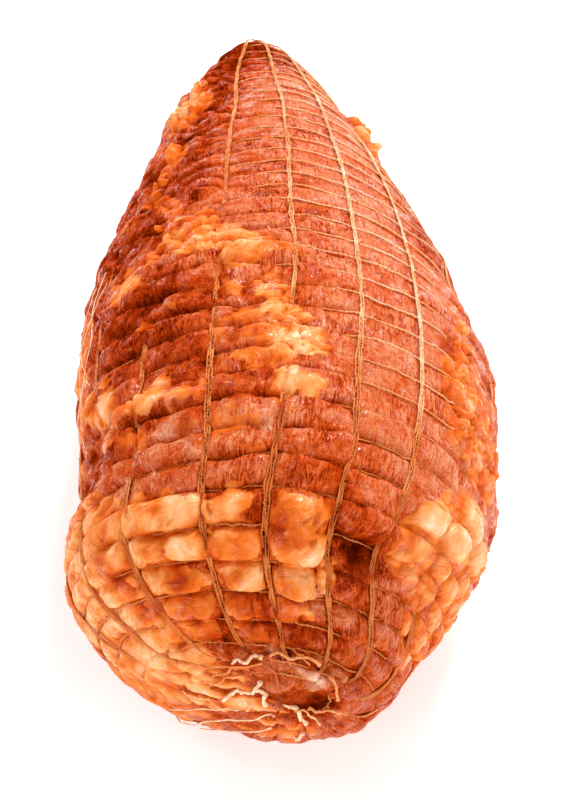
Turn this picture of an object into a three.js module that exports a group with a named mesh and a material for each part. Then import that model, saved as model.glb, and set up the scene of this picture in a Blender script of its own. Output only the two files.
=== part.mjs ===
import * as THREE from 'three';

// Boneless smoked shoulder ham, rolled and stuffed in an elastic net. Millimetres, +Z up.
// It lies along Y, with the open end of the net at -Y and the narrow tip at +Y.
//
// A place on its skin is given in net coordinates: a cord number, counted from the top cord
// towards +X, and a ring number, counted from the near end. The net lies in grooves along whole
// numbers of both, and the meat and fat bulge as a pillow in each mesh of the net.

const CORDS = 16; // lengthwise knitted cords
const MOUTH = 1; // ring at the cut edge of the net, round the bare meat of the near end
const LAST_RING = 40; // past this ring the net closes over the tip
const TIP = 41;

const CORD_WIDTH = 2.0;
const THREAD_WIDTH = 1.0;
const NET_GAP = 1.2; // from the bottom of a groove to the net
const NET_THICKNESS = 1.2;
const WIDEST_CORD = 0.3; // share of the way to the next cord that half a cord may fill, near the tip

const SEAT = 3.5; // height of the grooves where the ham rests
const PRESSED_BELOW = 5.5; // a mesh that lies lower than this is pressed flat on the table
const TIP_THICKNESS = 0.8; // meat past the last section
const BOX_MIDDLE = new THREE.Vector3(1.4, 28.1, 0); // middle of the box, in the sections' own frame

// The sections: each list holds [ring, value] pairs, in millimetres or degrees.
const CENTRE_X = [[0, 13], [1, 12], [3, 5], [6, 2], [10, 8], [16, 8], [20, 3], [30, -13], [41, -32]];
const CENTRE_Y = [[0, -124], [1, -122], [2, -119], [3, -113.5], [5, -102], [8, -84], [10, -70],
  [12, -50.5], [16, -14], [20, 11], [25, 45], [30, 85], [34, 120], [38, 157], [41, 179]];
const KEEL_Y = [[0, -124], [1, -121.5], [2, -117.5], [3, -109.5], [5, -88.5], [10, -54], [16, -11],
  [20, 19], [25, 56], [30, 93], [35, 129], [39, 159], [41, 177]];
const CENTRE_Z = [[0, 50], [1, 49.5], [2, 45], [3, 39], [5, 39], [8, 43], [12, 45], [16, 47], [20, 42],
  [25, 34], [30, 25.5], [35, 19], [38, 16], [41, 14]];
const LEAN = [[0, 5], [4, 14], [6, 16], [10, 10], [16, 12], [20, 1], [25, -12], [30, -19], [41, -28]];
const TURN = [[0, -5], [3, 0], [6, 3.5], [12, 3], [20, -2], [30, 2], [41, 0]];
const HALF_LEFT = [[0, 0.5], [1, 13], [2, 23], [3, 32], [4, 39], [6, 48], [10, 59], [16, 65],
  [20, 62], [25, 54.5], [30, 41.5], [35, 28], [38, 15], [40, 6.5], [41, 2]];
const HALF_RIGHT = [[0, 0.5], [1, 13], [2, 22], [3, 31], [4, 38], [6, 46], [10, 53], [16, 52],
  [20, 51], [25, 45.5], [30, 35.5], [35, 24.5], [38, 14.5], [40, 6.5], [41, 2]];
const HALF_TOP = [[0, 0.5], [1, 10], [2, 18], [3, 27], [4, 35], [6, 51], [8, 62], [10, 65], [12, 65],
  [16, 60], [20, 55], [25, 48], [30, 39.5], [33, 30.5], [35, 24], [38, 14], [40, 6], [41, 2]];
const HALF_BASE = [[0, 0.5], [1, 11], [2, 20], [3, 27], [5, 36], [8, 44], [12, 49], [16, 51], [20, 46],
  [25, 38.5], [30, 29], [35, 17.5], [38, 12], [40, 6], [41, 2]];

// The cords wander: all together, crowded towards the top, and each by itself.
const DRIFT = [[0, 1.0], [5, 0.4], [9, 0], [20, -0.1], [41, 0.3]];
const CROWDING = [[0, -0.05], [6, 0.03], [12, 0.13], [28, 0.14], [36, 0], [41, 0]];
const SWAYS = [
  { cord: -1, ring: 6.5, reach: 3, shift: 0.2 },
  { cord: -2, ring: 5, reach: 2, shift: 0.08 },
  { cord: 1, ring: 6, reach: 2, shift: -0.1 },
  { cord: 2, ring: 6, reach: 2.5, shift: -0.25 },
  { cord: 3, ring: 7, reach: 3, shift: -0.25 },
  { cord: 4, ring: 7, reach: 3, shift: -0.2 },
  { cord: 3, ring: 14, reach: 4, shift: -0.12 },
];

// Height of the pillows over their grooves, and how unevenly they are filled.
const PILLOW = [[1, 0.5], [5, 2.2], [10, 2.0], [20, 1.5], [30, 1.1], [38, 0.7], [41, 0.3]];
const UNEVENNESS = 0.7;
const RIDGE_INSET = 0.25; // from a cord to the end of a pillow's ridge, as a share of its mesh
const PAD_INSET = 5; // from a cord to the flat pad of a pressed pillow
const PAD_WIDEST_INSET = 0.42; // the same as a share of a narrow mesh
const PAD_MARGIN = 0.34; // from a ring thread to the pad, as a share of its mesh
const BARE_RING = 0.45; // the bare meat bulges most at this ring
const BARE_BULGE = 1.0;

// Large forms that stand out from the skin or sink into it, with a reach in cords and in rings.
const FORMS = [
  { cord: 1.6, ring: 6.7, reach: [0.45, 0.6], rise: -8 }, // dark cleft
  { cord: 1.5, ring: 7.9, reach: [0.45, 0.5], rise: 3 }, // red-brown lump over the cleft
  { cord: 0.5, ring: 6.9, reach: [0.4, 1.0], rise: 3 }, // largest fat lump
  { cord: 0.45, ring: 5.4, reach: [0.4, 0.6], rise: 2 },
  { cord: -0.5, ring: 6.9, reach: [0.4, 0.7], rise: 1.5 },
  { cord: -1.5, ring: 7.1, reach: [0.5, 0.7], rise: 2 },
  { cord: -1.6, ring: 5.2, reach: [0.5, 0.8], rise: 1.5 },
  { cord: -3.4, ring: 11.2, reach: [0.9, 1.3], rise: -4 }, // dark hollow above the rind lobe
  { cord: -3.4, ring: 7.6, reach: [1.3, 2.0], rise: 3 }, // rind lobe of the left
  { cord: 3.3, ring: 9.0, reach: [0.9, 1.2], rise: 2 }, // fat cells of the right
  { cord: 3.1, ring: 12.8, reach: [0.8, 1.5], rise: 1.2 },
  { cord: -2.95, ring: 12.7, reach: [0.5, 0.7], rise: 2.5 }, // fat lumps of the left
  { cord: -1.95, ring: 11.6, reach: [0.4, 0.6], rise: 2 },
  { cord: 0.2, ring: 12.3, reach: [0.4, 1.2], rise: 1.5 }, // pale lumps near the top cord
  { cord: -0.9, ring: 17.8, reach: [0.8, 1.0], rise: 1.8 },
  { cord: -2.6, ring: 33, reach: [0.8, 1.8], rise: 3 }, // fat beside the tip
  { cord: 3.1, ring: 32, reach: [0.7, 1.5], rise: 3 },
  { cord: 2.85, ring: 22.3, reach: [0.5, 0.9], rise: 1.5 },
  { cord: 6.5, ring: 15, reach: [0.8, 2.5], rise: -2.5 }, // seam of the rolled meat, on the hidden side
  { cord: -6.2, ring: 24, reach: [0.7, 2.5], rise: -2 },
];

// A smooth curve through [ring, value] pairs, with each pair's slope taken from its neighbours.
function profile(pairs) {
  const last = pairs.length - 1;
  const slopes = pairs.map((pair, k) => {
    const [ringBefore, before] = pairs[Math.max(k - 1, 0)];
    const [ringAfter, after] = pairs[Math.min(k + 1, last)];
    return (after - before) / (ringAfter - ringBefore);
  });
  return (ring) => {
    let k = 0;
    while (k < last - 1 && ring >= pairs[k + 1][0]) k += 1;
    const [start, from] = pairs[k];
    const [end, to] = pairs[k + 1];
    const span = end - start;
    const s = THREE.MathUtils.clamp((ring - start) / span, 0, 1);
    const t = 1 - s;
    return t * t * (1 + 2 * s) * from + s * t * t * span * slopes[k]
      + s * s * (1 + 2 * t) * to - s * s * t * span * slopes[k + 1];
  };
}

const centreX = profile(CENTRE_X);
const centreY = profile(CENTRE_Y);
const centreZ = profile(CENTRE_Z);
const keelY = profile(KEEL_Y);
const lean = profile(LEAN);
const turn = profile(TURN);
const halfLeft = profile(HALF_LEFT);
const halfRight = profile(HALF_RIGHT);
const halfTop = profile(HALF_TOP);
const halfBase = profile(HALF_BASE);
const drift = profile(DRIFT);
const crowding = profile(CROWDING);
const pillow = profile(PILLOW);

// Signed way round the ham from one cord number to another, at most half of the cords.
function cordsApart(cord, other) {
  return THREE.MathUtils.euclideanModulo(cord - other + CORDS / 2, CORDS) - CORDS / 2;
}

function sway(cord, ring) {
  let shift = 0;
  for (const bend of SWAYS) {
    const own = Math.max(0, 1 - Math.abs(cordsApart(cord, bend.cord)));
    shift += bend.shift * own * Math.exp(-(((ring - bend.ring) / bend.reach) ** 2));
  }
  return shift;
}

// Angle round the section from its top, positive towards +X.
function angleOf(cord, ring) {
  const even = ((2 * Math.PI) / CORDS) * (cord + drift(ring) + sway(cord, ring));
  return even - crowding(ring) * Math.sin(even);
}

function centre(ring) {
  return new THREE.Vector3(centreX(ring), centreY(ring), centreZ(ring));
}

// The bare form: four quarter ellipses a section, turned, leaning above and drawn along the keel
// below, and level where it rests.
function onForm(cord, ring) {
  const angle = angleOf(cord, ring);
  const side = Math.sin(angle);
  const rise = Math.cos(angle);
  const across = side * (side < 0 ? halfLeft(ring) : halfRight(ring));
  const up = rise * (rise < 0 ? halfBase(ring) : halfTop(ring));
  const leaning = THREE.MathUtils.degToRad(lean(ring));
  const turning = THREE.MathUtils.degToRad(turn(ring));
  const point = centre(ring);
  point.x += across * Math.cos(turning);
  point.y += across * Math.sin(turning);
  point.y += rise < 0 ? (centreY(ring) - keelY(ring)) * rise : -up * Math.sin(leaning);
  point.z = Math.max(SEAT, point.z + up * Math.cos(leaning));
  return point;
}

function alongCord(cord, ring, step = 0.02) {
  return onForm(cord, ring + step).sub(onForm(cord, ring - step)).divideScalar(2 * step);
}

function alongRing(cord, ring, step = 0.02) {
  return onForm(cord + step, ring).sub(onForm(cord - step, ring)).divideScalar(2 * step);
}

function outward(cord, ring) {
  const inside = THREE.MathUtils.clamp(ring, 0.1, TIP - 0.1);
  return alongRing(cord, inside).cross(alongCord(cord, inside)).normalize();
}

function relief(cord, ring) {
  let rise = 0;
  for (const form of FORMS) {
    const across = cordsApart(cord, form.cord) / form.reach[0];
    const along = (ring - form.ring) / form.reach[1];
    rise += form.rise * Math.exp(-(across * across) - along * along);
  }
  return rise;
}

// The skin with its large forms, lifted by some height, never below the table.
function onSkin(cord, ring, lift = 0) {
  const point = onForm(cord, ring);
  point.addScaledVector(outward(cord, ring), relief(cord, ring) + lift);
  point.z = Math.max(0, point.z);
  return point;
}

// A repeatable number from 0 to 1 for each mesh of the net.
function chance(cord, ring) {
  const wave = Math.sin(cord * 12.9898 + ring * 78.233) * 43758.5453;
  return wave - Math.floor(wave);
}

// Collects points and faces, and turns them into a geometry.
class Shell {
  constructor() {
    this.positions = [];
    this.indices = [];
  }

  point(vector) {
    this.positions.push(vector.x, vector.y, vector.z);
    return this.positions.length / 3 - 1;
  }

  triangle(a, b, c) {
    this.indices.push(a, b, c);
  }

  quad(a, b, c, d) {
    this.triangle(a, b, c);
    this.triangle(a, c, d);
  }

  geometry() {
    const geometry = new THREE.BufferGeometry();
    geometry.setAttribute('position', new THREE.Float32BufferAttribute(this.positions, 3));
    geometry.setIndex(this.indices);
    geometry.computeVertexNormals();
    return geometry;
  }
}

const everyCord = Array.from({ length: CORDS }, (unused, cord) => cord);
const next = (cord) => (cord + 1) % CORDS;

// A ring of points at each cord, at the same height over the grooves.
function ringOfPoints(shell, ring, lift = 0) {
  return everyCord.map((cord) => shell.point(onSkin(cord, ring, lift)));
}

function isPressed(cord, ring) {
  return [0, 1].every((across) => [0, 1].every((along) => onForm(cord + across, ring + along).z < PRESSED_BELOW));
}

// One mesh of the net filled by a hipped pillow, between its four grooves.
function addPillow(shell, cord, ring, [nearLeft, nearRight, farRight, farLeft]) {
  const filling = 1 + UNEVENNESS * (chance(cord, ring) - 0.5);
  const height = pillow(ring + 0.5) * filling;
  const left = shell.point(onSkin(cord + RIDGE_INSET, ring + 0.5, height));
  const right = shell.point(onSkin(cord + 1 - RIDGE_INSET, ring + 0.5, height));
  shell.quad(nearLeft, nearRight, right, left);
  shell.quad(farRight, farLeft, left, right);
  shell.triangle(farLeft, nearLeft, left);
  shell.triangle(nearRight, farRight, right);
}

// One mesh of the underside: the pillow is pressed to a flat pad at the table.
function addPad(shell, cord, ring, corners) {
  const width = alongRing(cord + 0.5, ring + 0.5).length();
  const inset = Math.min(PAD_WIDEST_INSET, PAD_INSET / width);
  const [left, right] = [inset, 1 - inset];
  const [near, far] = [PAD_MARGIN, 1 - PAD_MARGIN];
  const pad = [[left, near], [right, near], [right, far], [left, far]].map(([across, along]) => {
    const point = onForm(cord + across, ring + along);
    point.z = 0;
    return shell.point(point);
  });
  for (let side = 0; side < 4; side += 1) {
    const after = (side + 1) % 4;
    shell.quad(corners[side], corners[after], pad[after], pad[side]);
  }
  shell.quad(...pad);
}

// The bare, uneven meat inside the mouth of the net.
function addMouth(shell, edge) {
  const lumps = everyCord.map((cord) => shell.point(onSkin(cord, BARE_RING, BARE_BULGE * chance(cord, 0))));
  const middle = shell.point(centre(0).addScaledVector(outward(0, 0), BARE_BULGE));
  for (const cord of everyCord) {
    shell.quad(lumps[cord], lumps[next(cord)], edge[next(cord)], edge[cord]);
    shell.triangle(middle, lumps[next(cord)], lumps[cord]);
  }
}

// The point past the last section, on the ham's own line.
function pastTip(distance) {
  const line = centre(TIP).sub(centre(TIP - 1)).normalize();
  return centre(TIP).addScaledVector(line, distance);
}

function hamGeometry() {
  const shell = new Shell();
  let near = ringOfPoints(shell, MOUTH);
  addMouth(shell, near);
  for (let ring = MOUTH; ring < TIP; ring += 1) {
    const far = ringOfPoints(shell, ring + 1);
    for (const cord of everyCord) {
      const corners = [near[cord], near[next(cord)], far[next(cord)], far[cord]];
      if (isPressed(cord, ring)) {
        addPad(shell, cord, ring, corners);
      } else {
        addPillow(shell, cord, ring, corners);
      }
    }
    near = far;
  }
  const tip = shell.point(pastTip(TIP_THICKNESS));
  for (const cord of everyCord) {
    shell.triangle(near[cord], near[next(cord)], tip);
  }
  return shell.geometry();
}

// Where a cord crosses a ring: four points at the net's underside and one on its ridge.
function crossing(shell, cord, ring) {
  const across = Math.min(WIDEST_CORD, CORD_WIDTH / 2 / alongRing(cord, ring).length());
  const along = THREAD_WIDTH / 2 / alongCord(cord, ring).length();
  const foot = (side, end) => shell.point(onSkin(cord + side * across, ring + end * along, NET_GAP));
  return {
    nearLeft: foot(-1, -1),
    nearRight: foot(1, -1),
    farRight: foot(1, 1),
    farLeft: foot(-1, 1),
    ridge: shell.point(onSkin(cord, ring, NET_GAP + NET_THICKNESS)),
  };
}

// The stretch of ring thread from one crossing to the next.
function addThread(shell, from, to) {
  shell.quad(from.nearRight, to.nearLeft, to.ridge, from.ridge);
  shell.quad(from.ridge, to.ridge, to.farLeft, from.farRight);
  shell.quad(from.farRight, to.farLeft, to.nearLeft, from.nearRight);
}

// The stretch of cord from one crossing to the next.
function addCord(shell, from, to) {
  shell.quad(from.farLeft, from.ridge, to.ridge, to.nearLeft);
  shell.quad(from.ridge, from.farRight, to.nearRight, to.ridge);
  shell.quad(from.farRight, from.farLeft, to.nearLeft, to.nearRight);
}

// Past the last ring the net is drawn together over the tip.
function addTipCap(shell, last) {
  const inner = ringOfPoints(shell, TIP, NET_GAP);
  const outer = ringOfPoints(shell, TIP, NET_GAP + NET_THICKNESS);
  const innerTip = shell.point(pastTip(TIP_THICKNESS + NET_GAP));
  const outerTip = shell.point(pastTip(TIP_THICKNESS + NET_GAP + NET_THICKNESS));
  for (const cord of everyCord) {
    const here = last[cord];
    const there = last[next(cord)];
    shell.quad(here.nearRight, there.nearLeft, there.ridge, here.ridge);
    shell.quad(here.ridge, there.ridge, outer[next(cord)], outer[cord]);
    shell.triangle(outer[cord], outer[next(cord)], outerTip);
    shell.triangle(here.nearRight, here.nearLeft, inner[cord]);
    shell.quad(there.nearLeft, here.nearRight, inner[cord], inner[next(cord)]);
    shell.triangle(inner[next(cord)], inner[cord], innerTip);
  }
}

function netGeometry() {
  const shell = new Shell();
  let near = everyCord.map((cord) => crossing(shell, cord, MOUTH));
  for (const here of near) {
    shell.triangle(here.nearLeft, here.nearRight, here.ridge);
  }
  for (let ring = MOUTH; ring < LAST_RING; ring += 1) {
    const far = everyCord.map((cord) => crossing(shell, cord, ring + 1));
    for (const cord of everyCord) {
      const here = near[cord];
      shell.quad(here.nearRight, here.nearLeft, here.farLeft, here.farRight);
      addThread(shell, here, near[next(cord)]);
      addCord(shell, here, far[cord]);
    }
    near = far;
  }
  addTipCap(shell, near);
  return shell.geometry();
}

function namedMesh(name, geometry, color, roughness) {
  const material = new THREE.MeshStandardMaterial({ color, roughness, metalness: 0 });
  const mesh = new THREE.Mesh(geometry, material);
  mesh.name = name;
  return mesh;
}

const group = new THREE.Group();
group.add(namedMesh('ham', hamGeometry(), 0xa8401c, 0.4));
group.add(namedMesh('net', netGeometry(), 0xcf8238, 0.6));
group.position.copy(BOX_MIDDLE).negate();
group.updateMatrixWorld(true);

export default group;
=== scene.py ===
import math

import bpy
import numpy as np
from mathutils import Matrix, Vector


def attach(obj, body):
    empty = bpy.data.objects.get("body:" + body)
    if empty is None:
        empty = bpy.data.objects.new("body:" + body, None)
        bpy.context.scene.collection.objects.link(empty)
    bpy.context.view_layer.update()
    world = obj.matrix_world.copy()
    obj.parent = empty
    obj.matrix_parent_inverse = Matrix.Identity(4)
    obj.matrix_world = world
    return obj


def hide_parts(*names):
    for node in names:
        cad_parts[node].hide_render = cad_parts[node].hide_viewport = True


# Boneless smoked shoulder ham, rolled in an elastic net. It lies along Y with the open end of the
# net at -Y and the narrow tip at +Y. Lengths are in millimetres up to the moment a mesh is made.
# A place on the skin is given in net coordinates: a cord number, counted from the top cord
# towards +X, and a ring number, counted from the near end.

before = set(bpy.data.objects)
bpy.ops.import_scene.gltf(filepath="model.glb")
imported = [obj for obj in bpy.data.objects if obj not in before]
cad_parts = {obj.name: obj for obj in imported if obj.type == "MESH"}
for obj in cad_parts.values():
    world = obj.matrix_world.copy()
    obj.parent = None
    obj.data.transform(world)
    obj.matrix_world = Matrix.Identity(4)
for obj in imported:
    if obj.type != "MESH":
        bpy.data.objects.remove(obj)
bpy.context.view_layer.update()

# Camera
ELEVATION = 46.8
AZIMUTH = 6.2
DISTANCE = 0.9334
AIM = Vector((-0.0004, -0.0281, 0.0324))
LENS = 195.4
SENSOR = 36.0

# The net
CORDS = 16
MOUTH = 1  # ring at the cut edge of the net, round the bare meat of the near end
LAST_RING = 40  # past this ring the net closes over the tip
TIP = 41
# Radius of the strands that a cord is knitted from, and half the width of a cord, by ring
STRAND_RADIUS = [(0, 0.14), (3, 0.17), (6, 0.22), (12, 0.2), (18, 0.17), (41, 0.15)]
CORD_HALF_WIDTH = [(0, 0.35), (3, 0.45), (6, 0.65), (9, 0.8), (13, 0.7), (17, 0.48), (30, 0.4), (41, 0.34)]
LANES = (-0.9, -0.1, 0.8)  # where a cord's straight strands run, in shares of its half width
CORD_STEPS = 280  # points of a straight strand
STITCH = 2.3  # length of one knitted stitch
PLY_RADIUS = 0.2  # of the two plies of a ring thread
PLY_TWIST = 3.0  # length of one turn of the plies
THREAD_STEP = 0.85  # between the points of a ring thread where the camera sees it
HIDDEN_THREAD_STEP = 2.0
CURL_STEPS = 14  # points of a loose strand for each place that it is given
SUNK_DEPTH = 2.6  # how deep the net lies where the meat has swollen over it
ABOVE_TABLE = 0.05  # how far the strands stay over the table

# The form
SEAT = 3.5  # height of the grooves where the ham rests
TIP_THICKNESS = 0.8  # meat past the last section
BOX_MIDDLE = np.array([1.4, 28.1, 0.0])  # middle of the box, in the sections' own frame
# Sections by ring: centre, place of the keel, lean and turn in degrees, and half their axes
CENTRE_X = [(0, 13), (1, 12), (3, 5), (6, 2), (10, 8), (16, 8), (20, 3), (30, -13), (41, -32)]
CENTRE_Y = [(0, -124), (1, -122), (2, -119), (3, -113.5), (5, -102), (8, -84), (10, -70), (12, -50.5),
            (16, -14), (20, 11), (25, 45), (30, 85), (34, 120), (38, 157), (41, 179)]
KEEL_Y = [(0, -124), (1, -121.5), (2, -117.5), (3, -109.5), (5, -88.5), (10, -54), (16, -11), (20, 19),
          (25, 56), (30, 93), (35, 129), (39, 159), (41, 177)]
CENTRE_Z = [(0, 50), (1, 49.5), (2, 45), (3, 39), (5, 39), (8, 43), (12, 45), (16, 47), (20, 42),
            (25, 34), (30, 25.5), (35, 19), (38, 16), (41, 14)]
LEAN = [(0, 5), (4, 14), (6, 16), (10, 10), (16, 12), (20, 1), (25, -12), (30, -19), (41, -28)]
TURN = [(0, -5), (3, 0), (6, 3.5), (12, 3), (20, -2), (30, 2), (41, 0)]
HALF_LEFT = [(0, 0.5), (1, 13), (2, 23), (3, 32), (4, 39), (6, 48), (10, 59), (16, 65), (20, 62),
             (25, 54.5), (30, 41.5), (35, 28), (38, 15), (40, 6.5), (41, 2)]
HALF_RIGHT = [(0, 0.5), (1, 13), (2, 22), (3, 31), (4, 38), (6, 46), (10, 53), (16, 52), (20, 51),
              (25, 45.5), (30, 35.5), (35, 24.5), (38, 14.5), (40, 6.5), (41, 2)]
HALF_TOP = [(0, 0.5), (1, 10), (2, 18), (3, 27), (4, 35), (6, 51), (8, 62), (10, 65), (12, 65), (16, 60),
            (20, 55), (25, 48), (30, 39.5), (33, 30.5), (35, 24), (38, 14), (40, 6), (41, 2)]
HALF_BASE = [(0, 0.5), (1, 11), (2, 20), (3, 27), (5, 36), (8, 44), (12, 49), (16, 51), (20, 46),
             (25, 38.5), (30, 29), (35, 17.5), (38, 12), (40, 6), (41, 2)]
# How far the cords turn round the ham, in cords, and how much closer they run above than below
DRIFT = [(0, 1), (5, 0.4), (9, 0), (20, -0.1), (41, 0.3)]
CROWDING = [(0, -0.05), (6, 0.03), (12, 0.13), (28, 0.14), (36, 0), (41, 0)]
SWAYS = [  # cord, ring, reach in rings, shift in cords
    (-1, 6.5, 3, 0.2), (-2, 5, 2, 0.08), (1, 6, 2, -0.1), (2, 6, 2.5, -0.25), (3, 7, 3, -0.25),
    (4, 7, 3, -0.2), (3, 14, 4, -0.12),
]
STRAY_CORDS = 0.05  # how far the net strays from its even places
STRAY_RINGS = 0.13

# Heights over the grooves
PILLOW = [(0, 0.6), (1, 1.3), (5, 2.5), (8, 2.7), (16, 2.5), (22, 2.2), (30, 1.9), (38, 1.2), (41, 0.5)]
UNEVENNESS = 0.7  # of the pillows among each other
# How far from a cord or a ring thread the pillows reach their height
CORD_ROUNDING = [(0, 3), (5, 4.5), (9, 4.2), (14, 4.5), (41, 5)]
RING_ROUNDING = [(0, 2.2), (5, 3), (9, 2.6), (14, 2.5), (41, 2.8)]
SQUARENESS = [(0, 2.4), (5, 2.4), (9, 2.8), (14, 3), (20, 2.8), (41, 2.2)]  # 2 is a round edge
CORD_SINK = [(0, 1), (10, 0.95), (14, 0.65), (20, 0.4), (41, 0.3)]  # of the cords into the pillows
WAVY_EDGE = 0.8  # how far the edges of the pillows stray
PRESSED_FROM = 8.0  # below this height the pillows start to be pressed against the table
PRESSED_BELOW = 5.0
DEEPEST_NET = -2.0  # the taut net spans what is deeper than this

# Large forms: cord, ring, reach in cords, reach in rings, rise
FORMS = [
    (1.6, 6.7, 0.45, 0.6, -8), (1.5, 7.9, 0.45, 0.5, 3), (0.5, 6.9, 0.4, 1, 3), (0.45, 5.4, 0.4, 0.6, 2),
    (-0.5, 6.9, 0.4, 0.7, 1.5), (-1.5, 7.1, 0.5, 0.7, 2), (-1.6, 5.2, 0.5, 0.8, 1.5),
    (-3.4, 11.2, 0.9, 1.3, -4), (-3.4, 7.6, 1.3, 2, 0.8), (3.3, 9, 0.9, 1.2, 2), (3.1, 12.8, 0.8, 1.5, 1.2),
    (-2.95, 12.7, 0.5, 0.7, 2.5), (-1.95, 11.6, 0.4, 0.6, 2), (0.2, 12.3, 0.4, 1.2, 1.5),
    (-0.9, 17.8, 0.8, 1, 1.8), (-2.6, 33, 0.8, 1.8, 0.8), (3.1, 32, 0.7, 1.5, 3),
    (2.85, 22.3, 0.5, 0.9, 1.5), (-4.3, 12.5, 1, 2.6, -2.4), (-4.2, 4.6, 1.3, 2, -3.2),
    (-3.2, 25, 0.9, 3, -1.6), (6.5, 15, 0.8, 2.5, -2.5), (-6.2, 24, 0.7, 2.5, -2),
    (-7.4, 2.4, 1.4, 1.2, -2),
]

# Lumps of fat and meat that swell out of their mesh: cord, ring, half width, half length, height
FAT_LUMPS = [
    (0.47, 6.95, 0.44, 1.1, 6.2),  # the largest, beside the cleft
    (0.42, 5.45, 0.4, 0.5, 4.8), (0.98, 5.7, 0.2, 0.5, 4.4), (0.62, 4.5, 0.14, 0.3, 3.8),
    (-1.15, 7.6, 0.28, 0.42, 5.2), (-1.62, 7.5, 0.26, 0.42, 4.6), (-1.22, 6.5, 0.28, 0.46, 5.6),
    (-1.75, 6.6, 0.22, 0.44, 4.8), (-0.55, 7.45, 0.42, 0.4, 4.6), (-0.5, 6.5, 0.44, 0.44, 4.8),
    (-0.5, 5.5, 0.44, 0.44, 4.8), (0.08, 11.35, 0.17, 0.42, 4.4), (0.4, 11.3, 0.18, 0.4, 4.2),
    (-2.7, 12.4, 0.3, 0.5, 4), (-1.82, 11.6, 0.26, 0.5, 4.4), (-1.65, 12.2, 0.08, 0.25, 3.4),
    (-2.5, 17.2, 0.3, 0.6, 3.4), (-3.2, 13.2, 0.3, 0.6, 3.6), (2.56, 8.68, 0.36, 0.58, 4.6),
    (3.42, 9.85, 0.33, 0.66, 4.2), (3.24, 8.6, 0.29, 0.56, 4.4), (2.72, 7.62, 0.3, 0.38, 4),
    (3.22, 7.65, 0.21, 0.38, 4), (3.96, 9.3, 0.26, 0.7, 4), (2.3, 7.05, 0.2, 0.26, 3.4),
    (2.66, 6.9, 0.18, 0.28, 3.4), (3.1, 6.9, 0.28, 0.34, 3.8), (3.65, 7.5, 0.24, 0.5, 3.8),
    (4.05, 8.1, 0.26, 0.5, 3.8), (3.65, 6.6, 0.3, 0.4, 3.8), (-1.45, 5.5, 0.46, 0.44, 4.6),
    (-1.5, 4.5, 0.44, 0.42, 4.4), (-0.6, 4.5, 0.42, 0.44, 4.6), (0.2, 4.5, 0.34, 0.44, 3.8),
    (-1.5, 3.6, 0.36, 0.4, 3.4), (-0.6, 3.5, 0.36, 0.4, 3.2),
]
CLUSTERS = [  # small lumps of fat: cord, ring, reach in cords, reach in rings, how many
    (0.15, 13, 0.34, 0.9, 24), (-0.1, 14.4, 0.3, 0.7, 14), (-0.3, 15.8, 0.2, 0.6, 8),
    (-1.1, 18.3, 0.5, 1, 26), (-0.6, 17.4, 0.25, 0.7, 8), (-1.7, 19.8, 0.3, 1, 8), (-2.2, 32, 0.5, 2.6, 16),
    (2.45, 31.4, 0.4, 2.2, 14), (3, 14.5, 0.25, 3.5, 18), (-2.9, 12.8, 0.4, 1, 8), (-2.2, 26.5, 0.2, 3, 8),
]
SMALL_LUMP = 1.9  # half the width of a small lump
MEAT_LUMPS = [
    (1.52, 7.6, 0.5, 0.66, 6),  # over the cleft
    (-0.62, 16.7, 0.2, 0.5, 3.6), (-0.5, 15.6, 0.22, 0.45, 3.8), (1.4, 5.9, 0.34, 0.6, 3.4),
    (-1.35, 22.3, 0.36, 0.6, 4), (-1.5, 16.4, 0.5, 0.46, 4), (-1.5, 15.4, 0.5, 0.46, 4.2),
    (-1.45, 14.4, 0.5, 0.46, 4), (-1.4, 13.4, 0.4, 0.46, 4.2), (-2.5, 15.6, 0.4, 0.46, 3.8),
    (-2.5, 14.5, 0.4, 0.46, 4), (-0.25, 15.4, 0.18, 0.5, 3.8), (-0.2, 14.3, 0.2, 0.5, 3.8),
    (-0.55, 10.6, 0.42, 0.55, 4.4), (-0.2, 10.3, 0.16, 0.5, 4.2), (-0.6, 9.3, 0.42, 0.5, 4),
    (-1.5, 9.4, 0.4, 0.6, 4), (-1.3, 10.6, 0.3, 0.5, 3.8), (0.5, 8.7, 0.3, 0.42, 4.2),
]

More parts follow.
